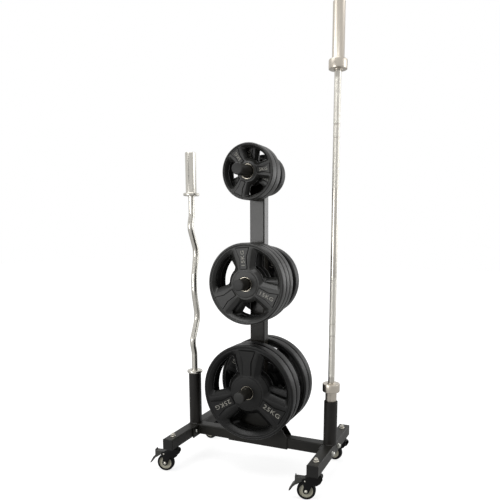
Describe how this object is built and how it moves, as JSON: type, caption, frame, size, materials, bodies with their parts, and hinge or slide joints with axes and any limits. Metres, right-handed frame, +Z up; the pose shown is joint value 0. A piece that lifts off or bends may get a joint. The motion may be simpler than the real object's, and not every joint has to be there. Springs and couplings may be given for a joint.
{
  "type": "weight plate tree",
  "caption": "Wheeled steel weight plate tree with an upright on an H-shaped base, horns for rubber-coated discs and tube posts that hold a straight bar and a curl bar.",
  "frame": {"origin": "on the floor, under the middle of the whole stand's outline seen from above, with the brake pedals and bars counted", "axes": "+Z up; -Y is the front, where the outer discs' faces look; +X is the side of the straight bar"},
  "size_m": [0.8422, 0.506, 2.0006],
  "materials": {
    "black_coat": "fine textured satin powder coat",
    "black_plastic": "moulded, lightly grained",
    "plate_rubber": "iron core under a matte black rubber coat",
    "zinc": "bright zinc plating",
    "black_steel": "black plated pressed steel",
    "chrome": "polished, warm grey",
    "wheel_grey": "moulded, smooth",
    "tyre": "smooth black rubber"
  },
  "bodies": {
    "frame": {"crossbeam": "black_coat", "base_bracket": "black_coat", "upright": "black_coat", "rail_left": "black_coat", "rail_right": "black_coat", "post_left": "black_coat", "post_right": "black_coat", "horn_low": "black_coat", "horn_middle": "black_coat", "horn_top": "black_coat", "upright_cap": "black_plastic", "rail_cap_front_left": "black_plastic", "rail_cap_front_right": "black_plastic", "rail_cap_rear_left": "black_plastic", "rail_cap_rear_right": "black_plastic", "horn_cap_low_front": "black_plastic", "horn_cap_low_rear": "black_plastic", "horn_cap_middle_front": "black_plastic", "horn_cap_middle_rear": "black_plastic", "horn_cap_top_front": "black_plastic", "horn_cap_top_rear": "black_plastic", "caster_stem_front_left": "zinc", "caster_stem_front_right": "zinc", "caster_stem_rear_left": "zinc", "caster_stem_rear_right": "zinc"},
    "caster_front_left": {"caster_fork_front_left": "black_steel", "caster_axle_front_left": "zinc"},
    "wheel_front_left": {"caster_wheel_front_left": "wheel_grey", "caster_tyre_front_left": "tyre"},
    "caster_front_right": {"caster_fork_front_right": "black_steel", "caster_axle_front_right": "zinc"},
    "wheel_front_right": {"caster_wheel_front_right": "wheel_grey", "caster_tyre_front_right": "tyre"},
    "caster_rear_left": {"caster_fork_rear_left": "black_steel", "caster_axle_rear_left": "zinc"},
    "wheel_rear_left": {"caster_wheel_rear_left": "wheel_grey", "caster_tyre_rear_left": "tyre"},
    "caster_rear_right": {"caster_fork_rear_right": "black_steel", "caster_axle_rear_right": "zinc"},
    "wheel_rear_right": {"caster_wheel_rear_right": "wheel_grey", "caster_tyre_rear_right": "tyre"},
    "pedal_left": {"brake_pedal_left": "black_steel"},
    "pedal_right": {"brake_pedal_right": "black_steel"},
    "plate_25_front_inner": {"plate_25_front_inner": "plate_rubber"},
    "plate_25_front_outer": {"plate_25_front_outer": "plate_rubber"},
    "plate_25_rear_inner": {"plate_25_rear_inner": "plate_rubber"},
    "plate_25_rear_outer": {"plate_25_rear_outer": "plate_rubber"},
    "plate_15_front_inner": {"plate_15_front_inner": "plate_rubber"},
    "plate_15_front_middle": {"plate_15_front_middle": "plate_rubber"},
    "plate_15_front_outer": {"plate_15_front_outer": "plate_rubber"},
    "plate_10_rear": {"plate_10_rear": "plate_rubber"},
    "plate_5_front_inner": {"plate_5_front_inner": "plate_rubber"},
    "plate_5_front_outer": {"plate_5_front_outer": "plate_rubber"},
    "plate_2_5_rear": {"plate_2_5_rear": "plate_rubber"},
    "barbell": {"barbell_shaft": "chrome"},
    "barbell_sleeve_low": {"barbell_sleeve_low": "chrome"},
    "barbell_sleeve_top": {"barbell_sleeve_top": "chrome"},
    "curl_bar": {"curl_bar_shaft": "chrome"},
    "curl_bar_sleeve_low": {"curl_bar_sleeve_low": "chrome"},
    "curl_bar_sleeve_top": {"curl_bar_sleeve_top": "chrome"}
  },
  "joints": [
    {"name": "caster_swivel_front_left", "type": "hinge", "parent": "frame", "child": "caster_front_left", "pos_m": [-0.30887, -0.204, 0.111], "axis": [0, 0, 1], "continuous": true},
    {"name": "wheel_roll_front_left", "type": "hinge", "parent": "caster_front_left", "child": "wheel_front_left", "pos_m": [-0.34597, -0.21222, 0.04], "axis": [-0.2164, 0.9763, 0], "continuous": true},
    {"name": "caster_swivel_front_right", "type": "hinge", "parent": "frame", "child": "caster_front_right", "pos_m": [0.38313, -0.204, 0.111], "axis": [0, 0, 1], "continuous": true},
    {"name": "wheel_roll_front_right", "type": "hinge", "parent": "caster_front_right", "child": "wheel_front_right", "pos_m": [0.34603, -0.21222, 0.04], "axis": [-0.2164, 0.9763, 0], "continuous": true},
    {"name": "caster_swivel_rear_left", "type": "hinge", "parent": "frame", "child": "caster_rear_left", "pos_m": [-0.30887, 0.204, 0.111], "axis": [0, 0, 1], "continuous": true},
    {"name": "wheel_roll_rear_left", "type": "hinge", "parent": "caster_rear_left", "child": "wheel_rear_left", "pos_m": [-0.34597, 0.21222, 0.04], "axis": [0.2164, 0.9763, 0], "continuous": true},
    {"name": "caster_swivel_rear_right", "type": "hinge", "parent": "frame", "child": "caster_rear_right", "pos_m": [0.38313, 0.204, 0.111], "axis": [0, 0, 1], "continuous": true},
    {"name": "wheel_roll_rear_right", "type": "hinge", "parent": "caster_rear_right", "child": "wheel_rear_right", "pos_m": [0.34603, 0.21222, 0.04], "axis": [0.2164, 0.9763, 0], "continuous": true},
    {"name": "brake_press_left", "type": "hinge", "parent": "caster_front_left", "child": "pedal_left", "pos_m": [-0.35085, -0.21331, 0.0845], "axis": [0.2164, -0.9763, 0], "range_deg": [0, 8]},
    {"name": "brake_press_right", "type": "hinge", "parent": "caster_front_right", "child": "pedal_right", "pos_m": [0.34115, -0.21331, 0.0845], "axis": [0.2164, -0.9763, 0], "range_deg": [0, 8]},
    {"name": "slide_25_front_inner", "type": "slide", "parent": "frame", "child": "plate_25_front_inner", "axis": [0, -1, 0], "range_m": [0, 0.193]},
    {"name": "slide_25_front_outer", "type": "slide", "parent": "plate_25_front_inner", "child": "plate_25_front_outer", "axis": [0, -1, 0], "range_m": [0, 0.143]},
    {"name": "slide_25_rear_inner", "type": "slide", "parent": "frame", "child": "plate_25_rear_inner", "axis": [0, 1, 0], "range_m": [0, 0.197]},
    {"name": "slide_25_rear_outer", "type": "slide", "parent": "plate_25_rear_inner", "child": "plate_25_rear_outer", "axis": [0, 1, 0], "range_m": [0, 0.147]},
    {"name": "slide_15_front_inner", "type": "slide", "parent": "frame", "child": "plate_15_front_inner", "axis": [0, -1, 0], "range_m": [0, 0.199]},
    {"name": "slide_15_front_middle", "type": "slide", "parent": "plate_15_front_inner", "child": "plate_15_front_middle", "axis": [0, -1, 0], "range_m": [0, 0.159]},
    {"name": "slide_15_front_outer", "type": "slide", "parent": "plate_15_front_middle", "child": "plate_15_front_outer", "axis": [0, -1, 0], "range_m": [0, 0.118]},
    {"name": "slide_10_rear", "type": "slide", "parent": "frame", "child": "plate_10_rear", "axis": [0, 1, 0], "range_m": [0, 0.182]},
    {"name": "slide_5_front_inner", "type": "slide", "parent": "frame", "child": "plate_5_front_inner", "axis": [0, -1, 0], "range_m": [0, 0.195]},
    {"name": "slide_5_front_outer", "type": "slide", "parent": "plate_5_front_inner", "child": "plate_5_front_outer", "axis": [0, -1, 0], "range_m": [0, 0.15]},
    {"name": "slide_2_5_rear", "type": "slide", "parent": "frame", "child": "plate_2_5_rear", "axis": [0, 1, 0], "range_m": [0, 0.187]},
    {"name": "barbell_lift", "type": "slide", "parent": "frame", "child": "barbell", "axis": [0, 0, 1], "range_m": [0, 0.2]},
    {"name": "barbell_sleeve_low_spin", "type": "hinge", "parent": "barbell", "child": "barbell_sleeve_low", "pos_m": [0.38313, 0, 0.3], "axis": [0, 0, 1], "continuous": true},
    {"name": "barbell_sleeve_top_spin", "type": "hinge", "parent": "barbell", "child": "barbell_sleeve_top", "pos_m": [0.38313, 0, 1.9], "axis": [0, 0, 1], "continuous": true},
    {"name": "curl_bar_lift", "type": "slide", "parent": "frame", "child": "curl_bar", "axis": [0, 0, 1], "range_m": [0, 0.2]},
    {"name": "curl_bar_sleeve_low_spin", "type": "hinge", "parent": "curl_bar", "child": "curl_bar_sleeve_low", "pos_m": [-0.30887, 0, 0.3], "axis": [0, 0, 1], "continuous": true},
    {"name": "curl_bar_sleeve_top_spin", "type": "hinge", "parent": "curl_bar", "child": "curl_bar_sleeve_top", "pos_m": [-0.30887, 0, 1.35], "axis": [0, 0, 1], "continuous": true}
  ]
}
